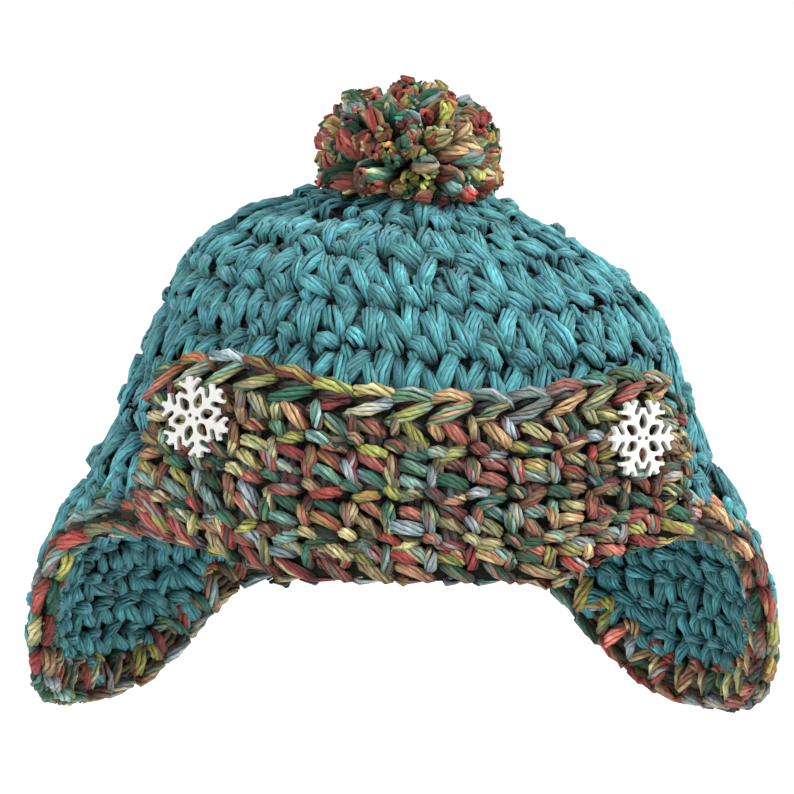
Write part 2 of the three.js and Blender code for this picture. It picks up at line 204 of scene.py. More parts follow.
EDGE_STITCH = {
    "under strand": (((-0.5, -0.8, -2.6), (-0.2, -1.1, 0.4), (0.16, -1.4, 0.4), (0.5, -1.6, -2.6)),
                     7, (1.2, 1.1), 0.4),
    "fold strand": (((-0.52, -0.1, -2.6), (-0.24, -0.24, 0.6), (0.16, -0.6, 0.6), (0.5, -0.85, -2.6)),
                    7, (1.25, 1.15), 0.5),
    "edge strand": (((-0.5, 0.4, -2.6), (-0.2, 0.46, 0.9), (0.16, 0.16, 0.9), (0.46, -0.1, -2.6)),
                    7, (1.25, 1.15), 0.5),
}
EDGING_STITCH = {
    "rim fill": (((-0.6, 0.0, -3.0), (-0.2, 0.0, -1.0), (0.2, 0.0, -1.0), (0.6, 0.0, -3.0)),
                 6, (1.4, 1.4), 0.1),
    "inner fill": (((-0.55, 0.62, -3.0), (-0.2, 0.8, -0.9), (0.2, 0.8, -0.9), (0.55, 0.62, -3.0)),
                   6, (1.4, 1.4), 0.1),
    "outer fill": (((-0.55, -0.62, -3.0), (-0.2, -0.8, -0.9), (0.2, -0.8, -0.9), (0.55, -0.62, -3.0)),
                   6, (1.4, 1.4), 0.1),
    "inner leg": (((-0.08, 1.2, -2.8), (-0.2, 1.0, 0.6), (-0.34, 0.75, 0.8), (-0.46, 0.42, -2.6)),
                  7, (1.15, 1.15), 0.4),
    "inner return": (((0.12, 1.16, -2.8), (0.24, 0.98, 0.8), (0.36, 0.72, 0.9), (0.42, 0.36, -2.6)),
                     7, (1.15, 1.15), 0.4),
    "inner loop": (((-0.34, 1.08, -2.6), (-0.12, 1.24, 0.9), (0.12, 1.26, 0.9), (0.34, 1.06, -2.6)),
                   7, (1.1, 1.1), 0.45),
    "outer top": (((-0.56, -1.0, -2.6), (-0.2, -1.18, 0.7), (0.16, -1.22, 0.7), (0.56, -1.02, -2.6)),
                  7, (1.15, 1.1), 0.5),
    "outer strand": (((-0.6, -0.62, -2.6), (-0.26, -0.82, 0.9), (0.14, -0.9, 1.0), (0.56, -0.7, -2.6)),
                     7, (1.2, 1.15), 0.5),
    "inner chain": (((-0.6, -0.02, -2.6), (-0.28, 0.34, 1.4), (0.1, 0.44, 1.6), (0.52, 0.2, -2.6)),
                    7, (1.1, 1.05), 0.5),
    "outer chain": (((-0.6, -0.02, -2.6), (-0.28, -0.28, 1.2), (0.1, -0.4, 1.4), (0.52, -0.2, -2.6)),
                    7, (1.1, 1.05), 0.5),
}

# Dyes of the mixed yarn: red, green, blue in linear light, and how often each is met
DYES = np.array([
    (0.48, 0.06, 0.04, 4.4), (0.27, 0.02, 0.025, 2.2), (0.58, 0.17, 0.12, 2.8),
    (0.6, 0.38, 0.18, 4.0), (0.74, 0.66, 0.31, 4.6), (0.52, 0.52, 0.1, 3.0),
    (0.01, 0.085, 0.042, 5.0), (0.018, 0.17, 0.11, 3.4), (0.12, 0.26, 0.14, 2.0),
    (0.32, 0.56, 0.5, 2.2), (0.38, 0.47, 0.5, 2.8), (0.22, 0.12, 0.045, 1.6)])
# Light that the fine fibres of the yarns scatter
MIXED_FUZZ = (1.0, 0.98, 0.94, 1)
TEAL_FUZZ = (0.72, 0.94, 1.0, 1)

# How uneven the yarn is: a lump's width, its plies' depth, radius and place round the lump,
# then the least twist of a lump as a share of the one in the table, and the range above it
LUMP_UNEVEN = 0.09
PLY_SINK = 0.08
PLY_UNEVEN = 0.06
RING_UNEVEN = 0.05
PLY_WOBBLE = 0.1
TWIST_RANGE = (0.65, 0.7)

# Light and shade painted into the plies' colour: the length at a lump's ends over which painted shade
# fades out, and a grey highlight painted on their lit parts
END_SHADE_REACH = 0.35
PAINTED_GREY_HIGHLIGHT = 0.012

# Sections of lumps: flat ones spread their plies over an angle and twist more, and ropes
# are rounder, with lighter shade painted in their creases
FLAT_SPAN = 2.6
FLAT_TWIST = 1.8
ROPE_FLATNESS = 0.9
ROPE_CREASE_SHADE = 0.34

# Fills: rings of a ply, how much thicker a ply is, and the share of its dyed colour left under the
# shade painted on it, in ropes and in flat lumps
FILL_RINGS = 3
FILL_THICKNESS = 1.6
FILL_SHADE_IN_ROPES = 0.2
FILL_SHADE_IN_FLATS = 0.32

# How much thicker than the crown's the plies of the other pieces are
INSIDE_PLY = 1.7
EDGING_PLY = 1.2
POMPOM_PLY = 1.5

# How far the controls of a lump, and then all of it, stray across, up and in lift
CONTROL_STRAY = (0.035, 0.03, 0.3)
LUMP_STRAY = (0.02, 0.02, 0.25)

# How far the buttons are trimmed, in millimetres, and how often their surface is softened
BUTTON_TRIM = 0.3
BUTTON_SOFTENINGS = 16

# Where the random draws of each piece start
SEEDS = {"crown_lower_rounds": 11, "crown_upper_rounds": 12, "crown_inside_stitches": 13,
         "flaps": 14, "band": 31, "edging": 41, "pompom": 51}

# Pompom: its ends and their plies, then in millimetres from the rim its middle and its flat
# underside, its reach to the side and up and down, and the power of its rounded shape
POMPOM_ENDS = 300
POMPOM_PLIES = 7
POMPOM_MIDDLE = 112.5
POMPOM_UNDERSIDE = 106.5
POMPOM_REACH = 28.0
POMPOM_UP_DOWN = (24.0, 11.0)
POMPOM_POWER = 2.4

# Studio, in metres and watts: name, place, size and power of each light
LIGHTS = (("key", (1.25, -0.5, 0.9), 0.6, 52), ("fill", (-0.9, -0.8, 0.5), 0.8, 19))
LIGHTS_AIM = (0, 0, -0.07)
SKY_STRENGTH = 0.83
FLOOR_DROP = 0.35
FLOOR_HALF = 14.0

# Fitted view: degrees to the left, above and of roll, then in millimetres the pivot above the
# rim and the picture's centre, in metres the camera's distance and the picture's width, and
# the width of the camera's sensor in millimetres
VIEW_AZIMUTH = -2.3
VIEW_ELEVATION = 10
VIEW_ROLL = 1.1
VIEW_PIVOT = 35
VIEW_CENTRE = (-3.36, 40.9)
VIEW_DISTANCE = 2.4
VIEW_WIDTH = 0.2422
SENSOR = 36


def smooth(low, high, value):
    """Rises from 0 at low to 1 at high, level at both ends: t*t*(3 - 2*t)."""
    t = np.clip((value - low) / (high - low), 0, 1)
    return t * t * (3 - 2 * t)


def table(points, value):
    """A value read off a table of rows (place, value), joined by straight lines."""
    return np.interp(value, points[:, 0], points[:, 1])


def fold(degrees):
    """An angle from the front, between -180 and 180 degrees."""
    return (degrees + 180) % 360 - 180


def run_along(line):
    """How far each point of a line lies along it."""
    return np.concatenate([[0], np.cumsum(np.linalg.norm(np.diff(line, axis=0), axis=1))])


def height_at(arc):
    """The height above the rim at an arc: H*sin(arc) above the rim, H*arc below it."""
    return np.where(arc > 0, CROWN_HEIGHT * np.sin(arc), CROWN_HEIGHT * arc)


def cloth_point(degrees, arc):
    """A point of the cloth: a rounded oval whose half width and depth change with the height.

    With share the height over H, the dome's half width is W*sqrt(1 - share^fullness). A
    logistic step flares the sides out below the rim.
    """
    turn = np.abs(fold(degrees))
    height = height_at(arc)
    share = np.maximum(0, height) / CROWN_HEIGHT
    to_side = smooth(FLARE_ANGLES[0], FLARE_ANGLES[1], turn)
    to_nape = smooth(FLARE_ANGLES[2], FLARE_ANGLES[3], turn)
    flare = to_side * (1 + (FLARE_AT_NAPE - 1) * to_nape)
    flare = flare / (1 + np.exp((height - FLARE_MIDDLE) / FLARE_REACH))
    tuck = FLAP_TUCK[1] * np.maximum(0, FLAP_TUCK[0] - height) ** 2
    dome = CROWN_HALF_WIDTH * np.sqrt(np.maximum(1e-9, 1 - share ** DOME_FULLNESS))
    half_width = dome + FLARE_OUT * flare - tuck
    depth_share = DEPTH_TO_WIDTH[0] + (DEPTH_TO_WIDTH[1] - DEPTH_TO_WIDTH[0]) * share ** 3
    half_depth = dome * depth_share + FLARE_BACK * flare
    power = SQUARENESS[0] + (SQUARENESS[1] - SQUARENESS[0]) * share ** 4
    angle = np.radians(degrees)
    across = (np.abs(np.sin(angle)) / half_width) ** power
    along = (np.abs(np.cos(angle)) / half_depth) ** power
    radius = (across + along) ** (-1 / power)
    lean = CROWN_LEAN * smooth(LEAN_SHARES[0], LEAN_SHARES[1], share)
    lean = lean * (1 - smooth(LEAN_SHARES[2], 1, share))
    return np.stack([radius * np.sin(angle) - lean, -radius * np.cos(angle), height], -1)


def unit(vectors):
    """Vectors scaled to length 1."""
    return vectors / np.maximum(1e-12, np.linalg.norm(vectors, axis=-1, keepdims=True))


def cloth(degrees, arc, lift):
    """A point at a lift off the cloth, and the outward normal there: around crossed with up."""
    around = cloth_point(degrees + 0.5, arc) - cloth_point(degrees - 0.5, arc)
    up = cloth_point(degrees, arc + 0.01) - cloth_point(degrees, arc - 0.01)
    normal = unit(np.cross(around, up))
    point = cloth_point(degrees, arc) + normal * np.asarray(lift)[..., None]
    point[..., 2] -= RIM_TO_ORIGIN
    return point, normal


def arc_at(height):
    """The arc whose height is given: asin(height/H) above the rim, height/H below it."""
    share = height / CROWN_HEIGHT
    return np.where(share > 0, np.arcsin(np.clip(share, 0, 1)), share)


def arc_of_row(row):
    """The arc at a number of rows above the rim, the rows being equal lengths of cloth."""
    arcs = np.linspace(0, math.pi / 2, 400)
    line = cloth_point(np.full(400, ROW_MERIDIAN), arcs)
    run = run_along(line)
    above = np.interp(row * CROWN_ROW, run, arcs)
    return np.where(row > 0, above, row * CROWN_ROW / CROWN_HEIGHT)


def girth(arc):
    """How far it is round the cloth at an arc, in mm."""
    ring = cloth_point(np.linspace(-180, 180, 181), np.full(181, arc))
    return np.linalg.norm(np.diff(ring, axis=0), axis=1).sum()


def hem_distance(degrees, height):
    """How far inside the hem a place is, in mm, measured in angle*MM_PER_DEGREE and height."""
    places = np.linspace(0, 180, 361)
    hem = np.stack([places * MM_PER_DEGREE, table(HEM, places)], -1)
    folded = np.abs(fold(degrees))
    here = np.stack([folded * MM_PER_DEGREE, height], -1)
    gap = np.linalg.norm(here[:, None, :] - hem[None], axis=-1).min(1)
    return np.where(height > table(HEM, folded), gap, -gap)


def curve_points(controls, t):
    """Points at t of cubic curves through their end controls, bent by the inner two."""
    weights = np.stack([(1 - t) ** 3, 3 * t * (1 - t) ** 2, 3 * t * t * (1 - t), t ** 3], -1)
    return np.einsum("kc,lcd->lkd", weights, controls)


def end_spaced(count):
    """Places from 0 to 1 that lie closer together at both ends: (1 - cos(pi*k/n))/2."""
    return (1 - np.cos(math.pi * np.linspace(0, 1, count))) / 2


def plateau(u):
    """Rises steeply from 0, stays near 1 and falls steeply to 0: (1 - |2u - 1|^4)^(1/2)."""
    return np.clip(1 - np.abs(2 * u - 1) ** 4, 0, 1) ** 0.5


class Yarn:
    """Collects the plies of many lumps of yarn as one mesh of closed tubes."""

    def __init__(self, seed):
        self.random = np.random.default_rng(seed)
        self.parts = []
        self.count = 0

    def bundle(self, path, normal, plies, ply_radius, dye_and_shade, ends, twist, span, flat=0.8,
               spread=0.76, sides=4, ragged=0.35, painted_end_shade=(0.88, 0.88), depth=0.3, even=False):
        """Adds lumps, each a twisted bundle of plies with rounded ends, at end_spaced places.

        The plies lie side by side on the outer part of an oval: at the angle
        (k/(plies - 1) - 1/2)*span + twist*(u - 1/2) turns, A*sin across and B*(cos - 1) down.
        A is such that neighbours lie spread*2 radii apart, and B = flat*A. Both shrink towards
        the ends by 0.5 + 0.5*plateau(u). The colours given, a row for each ply, are met one after
        another along it, and shade is painted into them: darker on the ply's back, down to depth,
        on the lump's flanks, and towards its ends by the two shares of painted end shade. The
        painted shade keeps the colour's strongest channel longest, and a little grey highlight is
        painted where the painted light is strong. The corners of a ply's section lie on its seen
        side, or evenly all round it.
        """
        lumps, rings, _ = path.shape
        random = self.random
        u = end_spaced(rings)
        tangent = unit(np.gradient(path, axis=1))
        side = unit(np.cross(tangent, normal))
        out = unit(np.cross(side, tangent))
        round_end = plateau(u)
        narrow = (ends[0] + (ends[1] - ends[0]) * u) * (0.5 + 0.5 * round_end)
        turns = twist * TURN * (random.random((lumps, 1, 1)) * TWIST_RANGE[1] + TWIST_RANGE[0])
        start = (np.arange(plies) / (plies - 1) - 0.5) * span
        wobble = random.normal(0, PLY_WOBBLE, (lumps, plies, rings))
        phi = start[None, :, None] + turns * (u - 0.5) + wobble
        wide = 2 * ply_radius * spread * (plies - 1) / span
        size = wide * narrow * (1 + random.normal(0, LUMP_UNEVEN, (lumps, 1, 1)))
        across = size * np.sin(phi)
        drop = flat * size * (np.cos(phi) - 1)
        drop = drop + random.normal(0, PLY_SINK, (lumps, plies, 1)) * ply_radius
        centre = path[:, None] + side[:, None] * across[..., None] + out[:, None] * drop[..., None]
        centre = centre + tangent[:, None] * random.normal(0, ragged, (lumps, plies, 1, 1))
        ply_out = unit(out[:, None] * np.cos(phi)[..., None] + side[:, None] * np.sin(phi)[..., None])
        run = np.broadcast_to(tangent[:, None], centre.shape)
        ply_side = unit(np.cross(ply_out, run))
        radius = ply_radius * (0.55 + 0.45 * round_end)
        radius = radius * (1 + random.normal(0, PLY_UNEVEN, (lumps, plies, 1))
                           + random.normal(0, RING_UNEVEN, (lumps, plies, rings)))
        if even:
            turn = np.arange(sides + 1) / sides
        else:
            turn = np.append(np.linspace(-0.3, 0.3, sides), 0.7)
            radius = radius * 1.08
        theta = turn[:sides] * TURN
        ring = (centre[..., None, :]
                + ply_out[..., None, :] * (np.cos(theta)[:, None] * radius[..., None, None])
                + ply_side[..., None, :] * (np.sin(theta)[:, None] * radius[..., None, None]))
        tubes = lumps * plies
        ring = ring.reshape(tubes, rings * sides, 3)
        run = run.reshape(tubes, rings, 3)
        line = centre.reshape(tubes, rings, 3)
        thick = np.broadcast_to(radius, (lumps, plies, rings)).reshape(tubes, rings)
        first = line[:, 0] - run[:, 0] * thick[:, :1] * 0.7
        last = line[:, -1] + run[:, -1] * thick[:, -1:] * 0.7
        vertices = np.concatenate([ring, first[:, None], last[:, None]], 1)
        # Shade painted into the colour: darker on the ply's back and flanks and towards its ends, more
        # saturated where darker, with a grey painted highlight where lit
        facing = depth + (1 - depth) * np.clip((np.cos(theta) + 0.35) / 1.2, 0, 1)
        near = 1 - painted_end_shade[0] * (1 - np.clip(u / END_SHADE_REACH, 0, 1) ** 0.7)
        tips = near * (1 - painted_end_shade[1] * (1 - np.clip((1 - u) / END_SHADE_REACH, 0, 1) ** 0.7))
        flank = 0.45 + 0.55 * np.clip(np.cos(phi) + 0.2, 0, 1)
        light = facing[None, None, None] * (tips * flank)[..., None]
        stops = dye_and_shade.shape[2] - 1
        place = np.clip(u * stops + random.normal(0, 0.5, (lumps, plies, 1)), 0, stops - 1e-6)
        before = place.astype(int)[..., None]
        change = smooth(0.3, 0.7, place - before[..., 0])[..., None]
        tint = (np.take_along_axis(dye_and_shade, before, 2) * (1 - change)
                + np.take_along_axis(dye_and_shade, before + 1, 2) * change)
        weak = 0.7 * (1 - tint / tint.max(-1, keepdims=True))
        shade = tint[:, :, :, None] * light[..., None]
        shade = shade * light[..., None] ** weak[:, :, :, None]
        shade = shade + PAINTED_GREY_HIGHLIGHT * light[..., None] ** 2
        shade = shade.reshape(tubes, rings * sides, 3)
        shade = np.concatenate([shade, shade[:, :1], shade[:, -1:]], 1)
        length = np.linalg.norm(np.diff(line, axis=1), axis=-1)
        length = np.concatenate([np.zeros((tubes, 1)), np.cumsum(length, 1)], 1)
        length = length + random.random((tubes, 1)) * 50
        self.add_plies(vertices, tubes, rings, sides, turn, length, shade)

    def add_plies(self, vertices, tubes, rings, sides, turn, length, dye_and_shade):
        """Faces, yarn coordinates (length in mm, turn) and dyed colours with their painted shade, of
        plies with a pole at each end.
        """
        size = rings * sides + 2
        k, j = np.meshgrid(np.arange(rings - 1), np.arange(sides), indexing="ij")
        k, j = k.ravel(), j.ravel()
        jn = (j + 1) % sides
        quad = np.stack([k * sides + j, k * sides + jn, (k + 1) * sides + jn, (k + 1) * sides + j], -1)
        quad_v = turn[np.stack([j, j + 1, j + 1, j], -1)]
        quad_k = np.stack([k, k, k + 1, k + 1], -1)
        j = np.arange(sides)
        jn = (j + 1) % sides
        low = np.stack([np.full(sides, rings * sides), jn, j], -1)
        top = (rings - 1) * sides
        high = np.stack([np.full(sides, rings * sides + 1), top + j, top + jn], -1)
        tri = np.concatenate([low, high])
        pole = (turn[j] + turn[j + 1]) / 2
        tri_v = np.concatenate([np.stack([pole, turn[j + 1], turn[j]], -1),
                                np.stack([pole, turn[j], turn[j + 1]], -1)])
        tri_k = np.repeat([0, rings - 1], sides)[:, None] * np.ones((1, 3), int)
        base = (np.arange(tubes) * size)[:, None, None] + self.count
        self.parts.append(dict(
            vertices=vertices.reshape(-1, 3),
            quads=(quad[None] + base).reshape(-1, 4),
            tris=(tri[None] + base).reshape(-1, 3),
            quad_uv=yarn_places(length[:, quad_k], quad_v),
            tri_uv=yarn_places(length[:, tri_k], tri_v),
            dye_and_shade=dye_and_shade.reshape(-1, 3)))
        self.count += tubes * size

    def mesh(self, name):
        """One mesh of everything collected."""
        keys = ("vertices", "quads", "tris", "quad_uv", "tri_uv", "dye_and_shade")
        joined = [np.concatenate([part[key] for part in self.parts]) for key in keys]
        return build_mesh(name, *joined)


def yarn_places(length, turn):
    """Yarn coordinates of faces' corners: the length along each ply, and the turn round it."""
    return np.stack([length, np.broadcast_to(turn, length.shape)], -1).reshape(-1, 2)


def build_mesh(name, vertices, quads, tris, quad_uv, tri_uv, dye_and_shade):
    """Puts whole arrays of corners into a new mesh, in metres, smooth, with its UV and its dyed colours
    with painted shade.
    """
    mesh = bpy.data.meshes.new(name)
    mesh.vertices.add(len(vertices))
    mesh.vertices.foreach_set("co", (vertices * MM).astype(np.float32).ravel())
    loops = np.concatenate([quads.ravel(), tris.ravel()]).astype(np.int32)
    starts = np.concatenate([np.arange(len(quads)) * 4, len(quads) * 4 + np.arange(len(tris)) * 3])
    mesh.loops.add(len(loops))
    mesh.loops.foreach_set("vertex_index", loops)
    mesh.polygons.add(len(starts))
    mesh.polygons.foreach_set("loop_start", starts.astype(np.int32))
    mesh.polygons.foreach_set("use_smooth", np.ones(len(starts), bool))
    mesh.update(calc_edges=True)
    layer = mesh.uv_layers.new(name="yarn")
    layer.uv.foreach_set("vector", np.concatenate([quad_uv, tri_uv]).astype(np.float32).ravel())
    shade = mesh.color_attributes.new("dye_and_shade", "FLOAT_COLOR", "POINT")
    colour = np.concatenate([dye_and_shade, np.ones((len(dye_and_shade), 1))], 1).astype(np.float32)
    shade.data.foreach_set("color", colour.ravel())
    mesh.validate()
    return mesh


def skin_mesh(name, vertices, quads):
    """A mesh of quads alone, with nothing on its yarn coordinates and black in its colour attribute."""
    return build_mesh(name, vertices, quads, np.zeros((0, 3), int), np.zeros((len(quads) * 4, 2)),
                      np.zeros((0, 2)), np.zeros((len(vertices), 3)))


def add_piece(mesh, material, nodes):
    """Links a mesh as a piece that rides the hat, in place of its solids."""
    piece = bpy.data.objects.new(mesh.name, mesh)
    bpy.context.scene.collection.objects.link(piece)
    mesh.materials.append(material)
    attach(piece, "root")
    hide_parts(*nodes)


class Value:
    """A shader socket that takes part in sums; every operator adds a Math node."""

    def __init__(self, tree, socket):
        self.tree = tree
        self.socket = socket

    def math(self, operation, other, swapped=False):
        """Adds a Math node on this value and another, which comes first if swapped."""
        node = self.tree.nodes.new("ShaderNodeMath")
        node.operation = operation
        sides = (other, self) if swapped else (self, other)
        for slot, side in zip(node.inputs, sides):
            if isinstance(side, Value):
                self.tree.links.new(side.socket, slot)
            elif side is not None:
                slot.default_value = side
        return Value(self.tree, node.outputs[0])

    def __add__(self, other):
        return self.math("ADD", other)

    def __radd__(self, other):
        return self.math("ADD", other, True)

    def __sub__(self, other):
        return self.math("SUBTRACT", other)

    def __rsub__(self, other):
        return self.math("SUBTRACT", other, True)

    def __mul__(self, other):
        return self.math("MULTIPLY", other)

    def __rmul__(self, other):
        return self.math("MULTIPLY", other, True)


class Shader:
    """A new material whose nodes are added by type, settings and sockets."""

    def __init__(self, name):
        self.material = bpy.data.materials.new(name)
        self.material.use_nodes = True
        self.tree = self.material.node_tree
        self.surface = self.tree.nodes["Principled BSDF"]

    def node(self, kind, settings=None, output=0, **sockets):
        """Adds any node: settings are set first, then values or links of its sockets.

        A socket is given by its name, with _ for a space, or by _ and its number.
        """
        node = self.tree.nodes.new("ShaderNode" + kind)
        for key, value in (settings or {}).items():
            setattr(node, key, value)
        for key, value in sockets.items():
            slot = node.inputs[int(key[1:])] if key[0] == "_" else node.inputs[key.replace("_", " ")]
            if isinstance(value, Value):
                self.tree.links.new(value.socket, slot)
            else:
                slot.default_value = value
        return Value(self.tree, node.outputs[output])

    def feed(self, socket, value):
        """Links or sets a socket of the surface."""
        if isinstance(value, Value):
            self.tree.links.new(value.socket, self.surface.inputs[socket])
        else:
            self.surface.inputs[socket].default_value = value


def yarn_material(name, sheen=0.06, fuzz=MIXED_FUZZ):
    """Plied yarn: the ply's dyed colour with shade painted into its creases and ends, and fine fibres
    along it, painted lighter in streaks and shaded between its threads.
    """
    shader = Shader(name)
    dye_and_shade = shader.node("VertexColor", {"layer_name": "dye_and_shade"})
    uv = shader.node("UVMap", {"uv_map": "yarn"})
    along = shader.node("SeparateXYZ", _0=uv)
    turn = Value(shader.tree, along.socket.node.outputs[1])
    # Two threads wind round a ply once in 7 mm, and fibres follow them
    wound = (turn * 2 + along * 0.28) * TURN
    thread = wound.math("COSINE", None) * 0.5 + 0.5
    streak_place = shader.node("CombineXYZ", X=along * 0.3, Y=(turn * 8 + along * 1.1), Z=0.0)
    streak = shader.node("TexNoise", {"noise_dimensions": "2D"}, Vector=streak_place, Scale=1.0,
                         Detail=2.0, Roughness=0.6)
    # The colour is lighter on streaks of fibre and on the threads and darker between them: painted
    # fibre highlights and painted crease shade, beside the bump
    level = 0.8 + 0.2 * thread + 1.1 * (streak - 0.5)
    grey = shader.node("CombineXYZ", X=level, Y=level, Z=level)
    colour = shader.node("VectorMath", {"operation": "MULTIPLY"}, _0=dye_and_shade, _1=grey)
    shader.feed("Base Color", colour)
    relief = thread * 0.5 + streak * 0.8
    shader.feed("Normal", shader.node("Bump", Strength=0.6, Distance=0.0004, Height=relief))
    shader.feed("Roughness", 0.8)
    shader.feed("Sheen Weight", sheen)
    shader.feed("Sheen Roughness", 0.5)
    shader.feed("Sheen Tint", fuzz)
    shader.feed("Specular IOR Level", 0.2)
    return shader.material


def shade_material(name, colour):
    """Painted shade for the deep inside of the cloth, which the stitches keep in shadow: dark, matt and
    uneven.
    """
    shader = Shader(name)
    place = shader.node("TexCoord", output="Object")
    noise = shader.node("TexNoise", Vector=place, Scale=350.0, Detail=2.0)
    level = noise * 0.8 + 0.6
    grey = shader.node("CombineXYZ", X=level, Y=level, Z=level)
    shade = shader.node("VectorMath", {"operation": "MULTIPLY"}, _0=grey, _1=colour)
    shader.feed("Base Color", shade)
    shader.feed("Roughness", 1.0)
    shader.feed("Specular IOR Level", 0.0)
    return shader.material


def plastic_material(name):
    """White moulded plastic, a little uneven in tone and gloss."""
    shader = Shader(name)
    place = shader.node("TexCoord", output="Object")
    broad = shader.node("TexNoise", Vector=place, Scale=160.0, Detail=2.0)
    fine = shader.node("TexNoise", Vector=place, Scale=1400.0, Detail=2.0)
    colour = shader.node("Mix", {"data_type": "RGBA"}, 2, _0=broad, _6=(0.34, 0.34, 0.318, 1),
                         _7=(0.4, 0.4, 0.375, 1))
    shader.feed("Base Color", colour)
    shader.feed("Roughness", 0.34 + 0.2 * broad)
    relief = shader.node("Bump", Strength=0.25, Distance=0.0001, Height=fine + broad)
    shader.feed("Normal", relief)
    shader.feed("Specular IOR Level", 0.45)
    return shader.material


def teal_dyes(random, count, plies, settings):
    """Teal for each ply: one yarn, a little lighter or darker from lump to lump."""
    base = np.array(settings.teal[:3])
    light = random.normal(0, 0.14, (count, 1, 1, 1)) + random.normal(0, 0.18, (count, plies, 2, 1))
    tint = random.normal(0, 0.035, (count, plies, 1, 3))
    return np.clip(base * np.exp(light + tint), 0.004, 1)


def mixed_dyes(random, count, plies, settings, strength=1.0):
    """Mixed yarn: each lump takes two or three dyes, shared out along its plies."""
    odds = DYES[:, 3] / DYES[:, 3].sum()
    picks = random.choice(len(DYES), (count, 3), p=odds)
    share = random.choice(3, (count, plies * 3), p=(0.55, 0.25, 0.2))
    chosen = np.take_along_axis(picks, share, 1).reshape(count, plies, 3)
    main = DYES[picks[:, 0], :3][:, None, None]
    light = random.normal(0, 0.16, (count, plies, 3, 1)) + random.normal(0, 0.2, (count, 1, 1, 1))
    dyes = (main * 0.25 + DYES[chosen][..., :3] * 0.75) * np.exp(light)
    dyes = dyes * settings.mixed_strength * strength
    grey = dyes.mean(-1, keepdims=True)
    return np.clip(dyes + (grey - dyes) * 0.08, 0.003, 1)


def row_places(stitch_width, rows, step, shift, level):
    """Stitch centres of the rounds: (degrees, row, degrees a stitch, rows a stitch).

    A round has as many stitches as fit its girth, and lies shift stitches on from the one below.
    """
    places = []
    for index in rows:
        row = index * step
        count = max(5, round(girth(float(arc_of_row(np.array(row + 0.5 * step)))) / stitch_width))
        width = 360 / count
        degrees = (np.arange(count) - count // 2 + shift * index) * width
        places.append(np.stack([degrees, np.full(count, row + level * step),
                                np.full(count, width), np.full(count, step)], -1))
    return np.concatenate(places)


def crown_surface(tilt, face, rest):
    """The crown as (degrees, row, lift): the rounds climb to the left by tilt*sin(angle)."""
    def surface(degrees, row, lift):
        row = row - tilt * np.sin(np.radians(degrees))
        point, normal = cloth(degrees, arc_of_row(row), rest + face * lift)
        return point, normal * face
    return surface


def band_surface(degrees, share, lift):
    """The folded band: share 0 is its bottom fold and 1 its top; it bulges by B*sin(pi*share).

    Beyond the bottom fold the cloth turns under and back in a circle of radius BAND_ROLL, up
    to BAND_FOLD_ANGLE radians, and beyond the top it falls back steeply.
    """
    bottom = table(HEM, np.abs(degrees)) + BAND_ROLL + BAND_OVERHANG
    top = table(BAND_TOP, degrees)
    inside = np.clip(share, 0, 1)
    height = bottom + (top - bottom) * inside
    under = np.clip(-share, 0, 1) * (top - bottom)
    over = np.clip(share - 1, 0, 1) * (top - bottom)
    turn = np.minimum(under / BAND_ROLL, BAND_FOLD_ANGLE)
    face = BAND_FACE + BAND_BULGE * np.sin(math.pi * inside) - BAND_SINK
    height = height - BAND_ROLL * np.sin(turn) + over * 0.4
    face = face - BAND_ROLL * (1 - np.cos(turn)) - over * 0.9
    return cloth(degrees, arc_at(height), face + lift * np.cos(turn))


def hem_line():
    """The smooth hem of half the hat: mm along it, then its places and inward normals.

    A place is angle*MM_PER_DEGREE and height. Between two rows of HEM the line is a cubic whose
    slope at a row is half the way between the rows beside it, and the normals are averaged.
    """
    rows = HEM * (MM_PER_DEGREE, 1)
    points = []
    for index in range(2, len(rows) - 1):
        before, start = rows[index - 1], rows[index]
        end, after = rows[index + 1], rows[min(index + 2, len(rows) - 1)]
        u = np.linspace(0, 1, HEM_STEPS, endpoint=False)[:, None]
        points.append(0.5 * (2 * start + (end - before) * u
                             + (2 * before - 5 * start + 4 * end - after) * u ** 2
                             + (3 * start - before - 3 * end + after) * u ** 3))
    line = np.concatenate(points + [rows[-1:]])
    run = run_along(line)
    along = unit(np.gradient(line, axis=0))
    inward = np.stack([-along[:, 1], along[:, 0]], -1)
    window = 2 * HEM_SMOOTHING + 1
    inward = np.stack([np.convolve(np.pad(inward[:, k], HEM_SMOOTHING, "edge"),
                                   np.ones(window) / window, "valid") for k in (0, 1)], -1)
    return run, line, unit(inward)


def edging_surface(side, run, line, inward):
    """The strip over the hem as (place, turn, lift): turn -1 is outside, 0 the rim, 1 inside.

    The section is an oval: inward by W*(1 - cos), and across the wall by T*|sin|^0.6, with
    W the strip's width and T half the wall.
    """
    def on_line(place, values):
        return np.stack([np.interp(place, run, values[:, k]) for k in (0, 1)], -1)

    def surface(place, turn, lift):
        angle = turn * math.pi / 2
        width = EDGING_WIDTH * (1 - np.cos(angle)) - lift * np.cos(angle)
        wall = -HALF_WALL - np.sign(turn) * np.abs(np.sin(angle)) ** 0.6 * HALF_WALL
        wall = wall - lift * np.sin(angle)
        into = on_line(place, inward)
        flat = on_line(place, line) + width[..., None] * into
        point, normal = cloth(side * flat[..., 0] / MM_PER_DEGREE, arc_at(flat[..., 1]), wall)
        beside, _ = cloth(side * (flat[..., 0] - into[..., 0]) / MM_PER_DEGREE,
                          arc_at(flat[..., 1] - into[..., 1]), wall)
        outward = unit(beside - point)
        facing = normal * -np.sin(angle)[..., None] + outward * np.cos(angle)[..., None]
        return point, unit(facing)
    return surface


